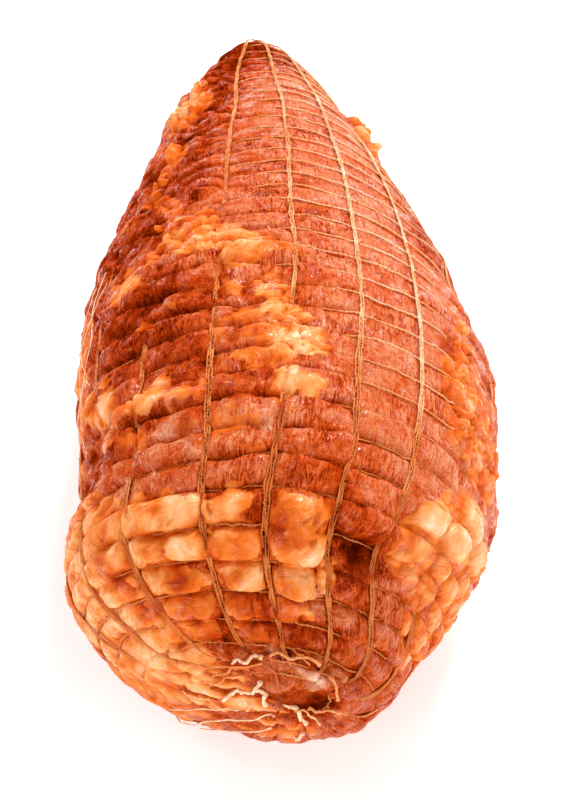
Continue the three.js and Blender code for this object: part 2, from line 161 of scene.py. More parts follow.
# Tissue: cord, ring, reach in cords, reach in rings, amount
FAT = [
    (-1.5, 7.5, 0.55, 0.6, 1), (-1.5, 6.5, 0.5, 0.55, 1), (-0.55, 7.5, 0.35, 0.45, 0.9),
    (-0.5, 6.5, 0.5, 0.5, 0.8), (-0.5, 5.5, 0.45, 0.5, 1), (0.45, 5.5, 0.4, 0.5, 0.9),
    (-1.8, 5, 0.25, 0.9, 0.6), (-3.1, 8.4, 0.9, 1.5, 1), (-2.9, 6.6, 0.9, 1.4, 1), (-2.7, 4.8, 0.9, 1.2, 1),
    (-3.3, 3.8, 1.2, 1.6, 1), (-2.4, 3.2, 0.6, 0.7, 0.9), (-5.6, 1.9, 0.28, 1.2, 1),
    (-6.6, 1.8, 0.28, 1.2, 1), (-7.5, 1.7, 0.25, 0.9, 0.9), (-8.5, 1.6, 0.3, 0.7, 0.8),
    (-4.4, 3.2, 1.4, 1.6, 1), (-3.4, 2.1, 1.2, 0.8, 0.9), (-4.6, 7.5, 1.2, 3, 0.9), (2.7, 8.5, 0.5, 0.9, 1),
    (3.5, 9, 0.6, 1.2, 1), (2.9, 7.3, 0.8, 0.7, 0.9), (3.6, 5.8, 1.2, 1.8, 0.8), (4.6, 7, 1, 2, 0.8),
    (3.3, 7.6, 0.8, 0.9, 0.8), (3.9, 8.6, 0.7, 1.5, 0.8), (-6.5, 2, 2.3, 1.1, 0.45),
    (-9.8, 1.9, 0.9, 0.8, 0.8), (2.75, 18.2, 0.25, 1, 0.8), (2.85, 16.6, 0.25, 1, 0.8),
    (2.95, 14.8, 0.3, 1.2, 0.9), (3.1, 13.3, 0.35, 1, 0.9), (3.4, 12, 0.5, 1, 0.9),
    (3.7, 13.5, 0.5, 2.5, 0.6), (-2.1, 22.4, 0.25, 0.7, 0.8), (-1.8, 21.4, 0.28, 0.6, 0.8),
    (-1.6, 19.6, 0.34, 0.8, 1), (-1.65, 18.7, 0.35, 0.6, 0.9), (-2.1, 18, 0.3, 0.5, 0.8),
    (-1.1, 18.6, 0.4, 0.7, 0.9), (-0.6, 17.9, 0.4, 0.6, 0.8), (-1.2, 20.2, 0.3, 0.5, 0.7),
    (-3.7, 15.2, 0.4, 3.5, 0.9), (-2.5, 17.2, 0.3, 0.6, 0.6), (-0.65, 14.5, 0.28, 0.4, 0.6),
    (-0.1, 13, 0.35, 0.8, 0.9), (-0.5, 12.6, 0.4, 0.22, 0.5), (-0.1, 14.6, 0.25, 0.6, 0.7),
    (-0.85, 15.9, 0.2, 0.5, 0.6), (-1.95, 14.9, 0.3, 0.4, 0.7), (0.2, 10.6, 0.2, 0.5, 0.6),
    (-0.5, 10.2, 0.35, 0.3, 0.5), (-2.3, 11.4, 0.2, 0.5, 0.6), (-0.3, 10.6, 1.3, 2.2, 0.2),
    (2.65, 12.6, 0.3, 1.2, 0.7), (2.5, 14.3, 0.2, 0.8, 0.5), (-2.2, 31.6, 0.6, 2.2, 1.1),
    (2.45, 31.4, 0.5, 1.8, 1), (-2.2, 25.2, 0.18, 1.6, 0.5), (-2.9, 23, 0.3, 2, 0.6),
    (1, 9.6, 0.2, 0.3, 0.4), (0.75, 8.6, 0.16, 0.3, 0.5), (-1.2, 11, 0.25, 0.7, 0.4),
    (-1.35, 8.8, 0.3, 0.5, 0.4), (0.6, 4.5, 0.2, 0.4, 0.7), (-0.6, 2.2, 0.7, 0.4, 0.7),
    (0.9, 2.6, 0.3, 0.6, 0.6), (-0.2, 17.5, 0.5, 0.3, 0.5), (-0.6, 13.6, 0.35, 0.4, 0.5),
    (-1.3, 9.7, 0.35, 0.3, 0.45), (-0.45, 9.1, 0.25, 0.3, 0.5), (-0.9, 10.5, 0.2, 0.3, 0.4),
    (-0.05, 10.9, 0.1, 0.6, 0.6), (0.05, 9.8, 0.1, 0.5, 0.6), (-1.05, 9.9, 0.08, 0.5, 0.5),
    (-1.95, 10.2, 0.12, 0.5, 0.6), (-0.3, 9.6, 0.14, 0.5, 0.6), (0.3, 9.4, 0.16, 0.4, 0.5),
    (-1.2, 12.4, 0.25, 0.5, 0.5),
]
PALE = [
    (-1.1, 7.65, 0.24, 0.4, 0.9), (-1.2, 6.6, 0.32, 0.42, 0.8), (-1.85, 7.1, 0.16, 0.9, 0.5),
    (-0.55, 7.5, 0.3, 0.25, 0.8), (-0.35, 5.5, 0.25, 0.35, 0.7), (0.55, 7.3, 0.16, 0.6, 0.6),
    (0.55, 6.3, 0.35, 0.25, 0.6), (0.42, 5.5, 0.3, 0.3, 0.5), (2.65, 8.5, 0.4, 0.7, 0.8),
    (3.5, 9, 0.5, 1.1, 0.8), (0.2, 12.5, 0.2, 0.4, 0.9), (0.05, 13.4, 0.2, 0.35, 0.8),
    (0.1, 11.4, 0.1, 0.3, 0.5), (0.4, 11.4, 0.1, 0.3, 0.5), (-1.25, 18.9, 0.14, 0.4, 0.9),
    (-1.2, 17.8, 0.12, 0.35, 0.9), (-0.95, 17.7, 0.12, 0.3, 0.8), (-0.62, 17.75, 0.14, 0.35, 0.9),
    (-3.1, 7.5, 0.7, 2.5, 0.35), (-2.6, 2.5, 0.9, 0.7, 0.6), (3.1, 13.3, 0.25, 0.7, 0.5),
    (-3.8, 3, 1.6, 1.6, 1.2), (-3.1, 13.1, 0.25, 0.4, 0.4), (-1.65, 12.2, 0.1, 0.2, 1),
    (-3.7, 14.5, 0.25, 2.5, 0.5), (-1.9, 4.6, 0.14, 0.35, 0.6), (-1.85, 5.65, 0.14, 0.3, 0.7),
    (-3.4, 5, 1.6, 4, 0.9), (-2.7, 12.4, 0.25, 0.4, 0.5), (-1.85, 11.6, 0.2, 0.4, 0.6),
    (-6.5, 1.8, 2.5, 1.2, 0.4), (-2.3, 31.8, 0.5, 2.2, 0.6),
]
# Darker meat: dry, smoked patches, and painted shade in the cleft by the largest lump (cords 1.5 to 1.6,
# rings 6 to 7.4), in the crevices beside it (cord -0.12, ring 7.3; cord 0.9, ring 7.8), in the hollow on the
# left (cord -3, ring 10.5) and in the dents of the sides (cord 6.5, ring 15; cord -6.2, ring 24).
DARK = [
    (-1.5, 34.5, 0.6, 3, 1.2), (-1.6, 31.5, 0.45, 1.8, 1.1), (-1.9, 28.6, 0.6, 2, 1),
    (-1.6, 25.8, 0.45, 2, 0.9), (-1.7, 23.6, 0.4, 1, 0.7), (-1.35, 22.3, 0.3, 0.5, 0.5),
    (-2.3, 19.6, 0.5, 1.2, 1.1), (-2.5, 22, 0.6, 1.8, 1.1), (-2.6, 26, 0.6, 2.2, 0.9),
    (-1.9, 16.4, 0.5, 0.8, 0.9), (-1.6, 15, 0.55, 1.2, 0.8), (-1.35, 13, 0.3, 0.7, 0.7),
    (-2.5, 14.8, 0.6, 1.6, 0.9), (-2.9, 10.7, 0.75, 0.8, 1.3), (-3.3, 10.2, 0.7, 0.5, 1),
    (2.85, 25, 0.5, 2, 1), (2.9, 22.4, 0.5, 1.3, 0.9), (2.6, 15.1, 0.2, 1.6, 0.7),
    (1.6, 6.8, 0.42, 0.35, 1.4), (1.5, 6, 0.45, 0.7, 1), (1.5, 7.4, 0.4, 0.35, 0.7),
    (-0.12, 7.3, 0.12, 0.4, 1), (-1.45, 5.5, 0.4, 0.4, 0.35), (0.2, 4.5, 0.35, 0.4, 0.6),
    (-0.6, 4.4, 0.5, 0.4, 0.3), (-1.3, 3.3, 0.12, 0.2, 1.3), (0.2, 3.3, 1.4, 0.8, 0.6),
    (0.9, 7.8, 0.12, 0.7, 0.7), (-0.8, 8.9, 0.6, 0.4, 0.3), (0.9, 9, 0.8, 0.7, 0.25),
    (6.5, 15, 0.5, 2.5, 0.8), (-6.2, 24, 0.5, 2.5, 0.8), (5.2, 20, 0.6, 3, 0.5), (-0.5, 39.5, 3, 3, 1.4),
    (-0.3, 36.5, 1.6, 2.4, 0.8), (0.8, 38, 1, 1.6, 0.6), (-3.4, 20, 0.6, 5, 0.6),
    (0.25, 22.3, 0.16, 0.4, 0.5), (0.3, 20.4, 0.25, 0.3, 0.6), (0.25, 18.4, 0.2, 0.3, 0.5),
    (-1.35, 19.3, 0.14, 0.4, 1), (-0.8, 18.3, 0.12, 0.3, 1), (-1.9, 20.4, 0.14, 0.4, 1),
    (-1, 17.4, 0.14, 0.3, 0.8), (-0.3, 23.4, 0.3, 0.3, 0.6), (-0.4, 21.4, 0.3, 0.3, 0.5),
    (0.3, 16.4, 0.3, 0.3, 0.5),
]
LEAN_SPOTS = [  # lean that shows through the fat
    (-2.6, 6.75, 0.28, 0.42, 0.8), (-2.35, 5.85, 0.3, 0.4, 0.9), (-2.3, 4.55, 0.28, 0.4, 0.9),
    (-2.4, 3.55, 0.25, 0.35, 0.8), (-1.65, 6.85, 0.16, 0.3, 1), (-1.45, 7.65, 0.14, 0.25, 0.7),
    (-0.5, 6.5, 0.3, 0.3, 1), (-0.8, 5.45, 0.16, 0.35, 0.7), (0.25, 6.8, 0.16, 0.8, 1),
    (0.5, 6.75, 0.12, 0.3, 0.8), (-3.2, 5.6, 0.3, 0.4, 0.5), (-3.5, 4.2, 0.3, 0.4, 0.5),
    (2.9, 7.6, 0.2, 0.5, 0.4), (-1.45, 5.5, 0.38, 0.4, 0.9), (-1.5, 4.5, 0.4, 0.4, 0.8),
    (-0.6, 4.5, 0.36, 0.4, 0.7), (0.2, 4.5, 0.35, 0.4, 1.1), (-1.35, 3.4, 0.3, 0.4, 1.1),
    (-0.5, 3.5, 0.45, 0.45, 0.9), (0.1, 2.3, 1.5, 0.7, 0.9), (0.45, 7.5, 0.3, 0.35, 0.6),
    (-0.75, 7.3, 0.2, 0.4, 0.7), (-1.15, 6.9, 0.12, 0.2, 0.7), (-1, 7.4, 0.1, 0.25, 0.6),
    (-0.3, 7.6, 0.12, 0.3, 0.6), (0.3, 5.3, 0.15, 0.25, 0.6), (-0.6, 5.7, 0.1, 0.25, 0.7),
]
HIDDEN_FAT = 0.5  # share of the sides and underside that is fat
SUNK_NET = [  # the meat has swollen over the net and shows no grooves
    (-2, 15.2, 0.25, 1.8, 0.6), (-2.4, 36.5, 0.8, 3.5, 2), (-2.4, 31.5, 0.75, 3.5, 2.2),
    (-2.4, 26.5, 0.75, 3.5, 2.2), (-6.5, 1.8, 2.2, 1.8, 1.3), (-2.2, 21.5, 0.8, 2.4, 1.4),
    (-1.6, 18.8, 0.6, 1.4, 1.2), (-2.6, 17.5, 0.4, 1.2, 0.9), (0.1, 13.4, 0.42, 1.5, 1),
    (-2.9, 12.7, 0.6, 0.8, 1), (-2.9, 10.5, 0.8, 1, 1.1), (3.3, 8.4, 0.9, 1.8, 1.3),
    (3.2, 13.5, 0.35, 2.5, 1), (2.8, 17.5, 0.25, 2, 0.8), (2.5, 31.2, 0.5, 2, 1.1),
    (0.47, 6.95, 0.33, 0.7, 1.2), (1.5, 7.6, 0.4, 0.5, 0.5),
]
LEAN_SHIFTS = [  # paler or darker lean
    (0.6, 11.5, 2.2, 4, 0.03), (-1.1, 11.5, 1.1, 1.2, -0.1), (-0.9, 9.4, 1.5, 1.2, 0.06),
    (0.7, 1.4, 0.7, 0.4, 0.5), (5, 0.4, 3, 0.5, -0.25), (3.6, 0.9, 1.6, 0.5, -0.3),
    (-2, 0.9, 1.6, 0.4, 0.06),
]
STRIPS = [(-5.4, 1, 2.8, 1.3, 1.1), (-9, 1.2, 1.6, 0.8, 0.8)]  # strips of fat and lean side by side
STRIP_SHAPE = np.array([0.09, 0.3, 0.4])  # turns per millimetre
GRAINS = [  # fat in small grains
    (-1.5, 19, 0.6, 1.6, 1), (-0.8, 17.6, 0.35, 0.7, 0.8), (0.1, 13.4, 0.42, 1.5, 1),
    (-2.2, 31.4, 0.6, 2.4, 1), (2.5, 31.2, 0.6, 2.2, 1), (3, 15, 0.4, 3.5, 0.9), (3.6, 12, 0.5, 1.5, 0.7),
    (-3.2, 13, 0.5, 1.2, 0.9), (-2.1, 26.5, 0.3, 3.5, 0.7), (-0.4, 5.5, 0.6, 0.6, 0.4),
    (0.9, 4.8, 0.4, 0.8, 0.7), (0.2, 2.3, 1.6, 0.8, 0.8),
]
RUGGED = [  # dry, craggy meat
    (-2.2, 35, 1, 4, 1.1), (-2.3, 29, 1.1, 4, 1.2), (-2.6, 22, 1.1, 3.5, 0.8), (-2.4, 16, 1.2, 3.5, 0.5),
    (-2.9, 10.8, 0.9, 1.3, 1.3), (-0.9, 11, 1.3, 2.4, 0.5), (-0.8, 15.5, 0.6, 1.5, 0.7),
    (1.2, 7.2, 0.6, 1.6, 0.7), (-0.4, 4, 1.8, 1.4, 0.8), (0.6, 2.2, 2, 1, 1),
]
STREAKED = [  # lean with streaks of fat
    (-2, 15, 1.4, 4, 0.9), (-2.4, 22, 1, 4, 0.75), (-2.2, 29, 0.8, 4, 0.7), (-0.6, 10.8, 1.6, 2.4, 1),
    (-0.4, 15.8, 0.5, 1.5, 0.9), (-0.4, 4.3, 1.8, 1.5, 0.7), (1.3, 6.2, 0.5, 0.8, 0.4),
    (2.7, 12, 0.5, 2, 0.4),
]
FLAT = [  # lower pillows with the net nearly level
    (3.4, 8.6, 1, 2, 0.8), (1.2, 30, 2, 9, 0.55), (1.4, 20, 1.7, 5, 0.45), (2, 13, 1.2, 4.5, 0.45),
    (-3.9, 5.4, 1.5, 3.2, 0.65),
]

# Loose strands: radius, how clean of smoke, and some places given as cord and ring
LOOSE_STRANDS = [
    (0.6, 0.8, [(-1.8, 1.95), (-1.45, 2.15), (-1.35, 2), (-1, 2.2), (-0.8, 2.1)]),
    (0.5, 0.45, [(-0.6, 2.15), (-0.3, 2.3), (0, 2.1), (0.4, 2.35), (0.8, 2.2)]),
    (0.65, 0.9, [(-5.7, 1.25), (-5.2, 1), (-4.8, 0.85), (-4.95, 0.65), (-4.5, 0.55), (-3, 0.6),
                 (-2.3, 0.75)]),
    (0.7, 0.9, [(-3.65, 0.55), (-4.05, 0.3), (-7, 0.45)]),
    (0.3, 0.8, [(-6.1, 0.85), (-6.8, 0.9), (-7.1, 1.1)]),
    (0.7, 0.95, [(-9.5, 0.1), (-10.75, 0.35), (-10.2, 0.75), (-10.25, 1.1)]),
    (0.6, 0.95, [(-9.55, 1.7), (-9.75, 1.75), (-9.95, 1.5)]),
    (0.3, 0.9, [(-6.85, 3.6), (-6.85, 2.85), (-6.9, 2.15), (-7.25, 1.6), (-7.95, 1.1), (-8.45, 0.8)]),
    (0.25, 0.8, [(-7.15, 2.85), (-7.9, 2.15), (-8.6, 1.3)]),
    (0.25, 0.7, [(-4.85, 2), (-5.2, 1.7), (-5.55, 1.5), (-6.3, 1.4)]),
    (0.25, 0.8, [(-5.9, 2.6), (-6, 2.1), (-6.3, 1.4), (-6.8, 1.2)]),
    (0.5, 0.5, [(3.6, 1.4), (3.8, 1), (4.3, 0.8), (4, 0.55)]),
    (0.5, 0.4, [(1.2, 1.8), (1.8, 1.45), (2.5, 1.3)]),
    (0.45, 0.6, [(5, 1.2), (5.2, 0.85), (4.8, 0.6), (5.4, 0.4)]),
    (0.4, 0.3, [(-3.2, 1.6), (-2.6, 1.55), (-2, 1.75), (-1.6, 1.6)]),
    (0.35, 0.25, [(-4.4, 1.5), (-3.6, 1.3), (-3, 1.35), (-2.4, 1.2)]),
    (0.35, 0.3, [(-2.6, 2.1), (-2.1, 1.95), (-1.4, 1.8), (-0.9, 1.9)]),
    (0.3, 0.2, [(0.2, 3.1), (0.4, 2.7), (0.2, 2.4), (0.5, 2.1)]),
    (0.16, 0.9, [(-3, 19.5), (-3.2, 17.5), (-3.1, 15.5), (-3.4, 13.5), (-3.3, 12)]),
    (0.14, 0.9, [(-2.9, 18.5), (-3.2, 16.8), (-3.5, 15.4), (-3.4, 14)]),
    (0.14, 0.8, [(-3.3, 20.5), (-3.3, 18.5), (-3.6, 16.5), (-3.3, 14.8), (-3, 13.8)]),
]

# Columns for each cord and rows for each ring of the ham's mesh, finer where the camera sees it
FINE_FROM, FINE_TO = -4.5, 4.5
FINE_COLUMNS = 20
COARSE_COLUMNS = 8
ROWS = 10
GATHERED = 0.5  # how far the rows and columns are drawn towards the grooves

# Studio light: name, place and size in metres, watts, colour
LAMPS = [
    ("key_softbox", (0.2, 0.5, 1.1), 0.4, 11.8, (1.0, 0.98, 0.95)),
    ("back_panel", (0.3, 1.0, 0.5), 0.7, 5.5, (1.0, 1.0, 1.0)),
    ("left_fill", (-0.8, -0.9, 0.45), 0.7, 4.9, (1.0, 0.98, 0.95)),
    ("left_top", (-0.6, -0.3, 0.9), 0.25, 0.9, (1.0, 0.98, 0.95)),
    ("left_rim", (-0.9, 0.7, 0.45), 0.3, 2.0, (1.0, 0.98, 0.95)),
    ("right_fill", (0.9, -0.8, 0.5), 0.7, 6.0, (1.0, 0.98, 0.94)),
]
WORLD_LIGHT = 0.4
FLOOR_HALF = 3000  # half the width of the floor

# Colours of the lean and of the fat, from dark to pale, and of the net, from smoked to clean
LEAN_TONES = [
    (0.0, (64, 13, 2)), (0.15, (124, 32, 2)), (0.3, (174, 52, 4)), (0.45, (207, 84, 19)),
    (0.6, (217, 130, 88)), (0.8, (230, 168, 140)), (1.0, (246, 210, 190)),
]
FAT_TONES = [
    (0.15, (140, 38, 6)), (0.3, (178, 58, 9)), (0.45, (208, 88, 20)), (0.6, (226, 116, 40)),
    (0.72, (236, 145, 76)), (0.84, (242, 170, 112)), (0.94, (245, 189, 140)), (1.0, (248, 208, 170)),
]
FIBRE_COLOUR = (190, 84, 26)  # of the net's darkest fibres
NET_TONES = [(0.0, (206, 98, 28)), (0.3, (230, 132, 58)), (0.6, (242, 172, 114)), (1.0, (252, 222, 188))]


def profile(pairs, ring):
    """A smooth curve through (ring, value) pairs, with each pair's slope taken from its neighbours."""
    at, value = np.array(pairs, float).T
    slope = np.empty_like(value)
    slope[1:-1] = (value[2:] - value[:-2]) / (at[2:] - at[:-2])
    slope[0] = (value[1] - value[0]) / (at[1] - at[0])
    slope[-1] = (value[-1] - value[-2]) / (at[-1] - at[-2])
    ring = np.clip(ring, at[0], at[-1])
    k = np.clip(np.searchsorted(at, ring, side="right") - 1, 0, len(at) - 2)
    span = at[k + 1] - at[k]
    s = (ring - at[k]) / span
    t = 1 - s
    near = t * t * (1 + 2 * s) * value[k] + s * t * t * span * slope[k]
    far = s * s * (1 + 2 * t) * value[k + 1] - s * s * t * span * slope[k + 1]
    return near + far


def cords_apart(cord, other):
    """Signed way round the ham from one cord number to another, at most half of the cords."""
    return (cord - other + CORDS / 2) % CORDS - CORDS / 2


def smooth(low, high, value):
    """A soft step from 0 at the first value to 1 at the second."""
    t = np.clip((value - low) / (high - low), 0, 1)
    return t * t * (3 - 2 * t)


def random_number(cells, seed):
    """A repeatable number from 0 to 1 for each whole-number cell."""
    x, y, z = (cells[..., k].astype(np.uint64) for k in range(3))
    mixed = x * np.uint64(73856093) ^ y * np.uint64(19349663) ^ z * np.uint64(83492791)
    mixed ^= np.uint64(seed * 2654435761 + 1)
    mixed ^= mixed >> np.uint64(13)
    mixed *= np.uint64(1274126177)
    mixed ^= mixed >> np.uint64(16)
    return (mixed % np.uint64(65536)).astype(float) / 65536


def noise(place, size, seed):
    """A smooth random field from -1 to 1, with swells about as wide as this size."""
    spot = place / size + 1000
    cell = np.floor(spot)
    part = spot - cell
    part = part * part * (3 - 2 * part)
    total = 0
    for corner in np.ndindex(2, 2, 2):
        weight = np.prod(np.where(corner, part, 1 - part), axis=-1)
        total = total + weight * random_number(cell + corner, seed)
    return 2 * total - 1


def cells(place, size, seed):
    """Random cells of about this size: the way to the nearest wall, and a number for each cell."""
    spot = place / size + 1000
    home = np.floor(spot)
    nearest = np.full(place.shape[:-1], 9.0)
    second = nearest.copy()
    label = np.zeros_like(nearest)
    for step in np.ndindex(3, 3, 3):
        cell = home + step - 1
        jitter = np.stack([random_number(cell, seed + k) for k in range(3)], -1)
        away = np.linalg.norm(cell + jitter - spot, axis=-1)
        closer = away < nearest
        second = np.where(closer, nearest, np.minimum(second, away))
        label = np.where(closer, random_number(cell, seed + 3), label)
        nearest = np.minimum(nearest, away)
    return (second - nearest) * size / 2, label


def sway(cord, ring):
    """How far a cord is shifted by its own bends, in cords."""
    shift = 0
    for at_cord, at_ring, reach, amount in SWAYS:
        own = np.clip(1 - np.abs(cords_apart(cord, at_cord)), 0, 1)
        shift = shift + amount * own * np.exp(-((ring - at_ring) / reach) ** 2)
    return shift


def angle_of(cord, ring):
    """The angle of a place round its section, from the top towards +X."""
    even = 2 * np.pi / CORDS * (cord + profile(DRIFT, ring) + sway(cord, ring))
    return even - profile(CROWDING, ring) * np.sin(even)


def on_form(cord, ring):
    """The bare form: four quarter ellipses a section, leaning above and drawn along the keel below."""
    angle = angle_of(cord, ring)
    side = np.sin(angle)
    rise = np.cos(angle)
    across = side * np.where(side < 0, profile(HALF_LEFT, ring), profile(HALF_RIGHT, ring))
    up = rise * np.where(rise < 0, profile(HALF_BASE, ring), profile(HALF_TOP, ring))
    leaning = np.radians(profile(LEAN, ring))
    turning = np.radians(profile(TURN, ring))
    middle = profile(CENTRE_Y, ring)
    back = np.where(rise < 0, (middle - profile(KEEL_Y, ring)) * rise, -up * np.sin(leaning))
    x = profile(CENTRE_X, ring) + across * np.cos(turning)
    y = middle + across * np.sin(turning) + back
    z = np.maximum(SEAT, profile(CENTRE_Z, ring) + up * np.cos(leaning))
    return np.stack([x, y, z], -1) - BOX_MIDDLE


def wrapped(cord, radius, along):
    """Places for a noise that closes on itself round the ham."""
    turn = 2 * np.pi * cord / CORDS
    return np.stack([radius * np.cos(turn), radius * np.sin(turn), along], -1)


def strayed(cord, ring):
    """The net's own, slightly uneven coordinates."""
    place = wrapped(cord, 2.6, 0.4 * ring)
    settled = smooth(0, 3, ring) * smooth(TIP, TIP - 3, ring)
    cord = cord + STRAY_CORDS * settled * noise(place, 1, 11)
    ring = ring + STRAY_RINGS * settled * noise(place, 0.7, 12)
    return cord, np.clip(ring, 0, TIP)


def surface(cord, ring):
    """Place and outward direction of the uneven form."""
    cord, ring = np.broadcast_arrays(np.asarray(cord, float), np.asarray(ring, float))
    cord, ring = strayed(cord, ring)
    inside = np.clip(ring, 0.1, TIP - 0.1)
    step = 0.02
    along_ring = on_form(cord + step, inside) - on_form(cord - step, inside)
    along_cord = on_form(cord, inside + step) - on_form(cord, inside - step)
    outward = np.cross(along_ring, along_cord)
    outward /= np.linalg.norm(outward, axis=-1, keepdims=True)
    return on_form(cord, ring), outward


def lifted(cord, ring, height):
    """A place at some height over the form, never below the table."""
    place, outward = surface(cord, ring)
    place = place + outward * np.asarray(height)[..., None]
    place[..., 2] = np.maximum(0, place[..., 2])
    return place


def patches(spots, cord, ring):
    """Sum of soft patches, each with a reach and an amount."""
    total = np.zeros(np.broadcast(cord, ring).shape)
    for at_cord, at_ring, cords, rings, amount in spots:
        across = cords_apart(cord, at_cord) / cords
        along = (ring - at_ring) / rings
        total += amount * np.exp(-across * across - along * along)
    return total


def share(spots, cord, ring):
    """Sum of soft patches, from 0 to 1."""
    return np.clip(patches(spots, cord, ring), 0, 1)


def chance(cord, ring):
    """A repeatable number from 0 to 1 for each mesh of the net."""
    wave = np.sin((cord % CORDS) * 12.9898 + ring * 78.233) * 43758.5453
    return wave - np.floor(wave)


def rounded(distance, radius, squareness=2.0):
    """The rise out of a groove: 0 in it and 1 past the radius."""
    left = 1 - np.clip(distance / radius, 0, 1)
    return (1 - left ** squareness) ** (1 / squareness)


def flatness(cord, ring):
    """How much lower the pillows are than elsewhere at this ring."""
    return np.clip(patches(FLAT, cord, ring), 0, 0.7)


def pitches(cord, ring):
    """Width and length of a mesh of the net."""
    width = np.linalg.norm(on_form(cord + 0.5, ring) - on_form(cord - 0.5, ring), axis=-1)
    near = np.clip(ring - 0.5, 0, TIP)
    far = np.clip(ring + 0.5, 0, TIP)
    length = np.linalg.norm(on_form(cord, far) - on_form(cord, near), axis=-1) / (far - near)
    return width, length


def domes(lumps, cord, ring):
    """Height of the highest of some half ellipsoids, and how far inside one a place lies."""
    highest = np.zeros(np.broadcast(cord, ring).shape)
    inside = np.zeros_like(highest)
    for at_cord, at_ring, width, length, height in lumps:
        across = np.abs(cords_apart(cord, at_cord)) / width
        along = np.abs(ring - at_ring) / length
        depth = np.clip(1 - across ** 3 - along ** 3, 0, 1)
        highest = np.maximum(highest, height * depth ** 0.45)
        inside = np.maximum(inside, depth)
    return highest, inside


def small_lumps():
    """Small lumps of fat strewn over the clusters."""
    lumps = []
    for at_cord, at_ring, cords, rings, count in CLUSTERS:
        for k in range(count):
            turn = 2 * math.pi * chance(k * 0.37, at_ring)
            away = math.sqrt(chance(k * 0.53, at_ring + 7))
            cord = at_cord + cords * away * math.cos(turn)
            ring = at_ring + rings * away * math.sin(turn)
            size = SMALL_LUMP * (0.7 + 0.6 * chance(k * 0.71, at_ring + 3))
            width, length = pitches(np.array([cord]), np.array([ring]))
            height = 3.0 + 1.2 * chance(k * 0.29, at_ring)
            lumps.append((cord, ring, size / width[0], size / length[0], height))
    return lumps


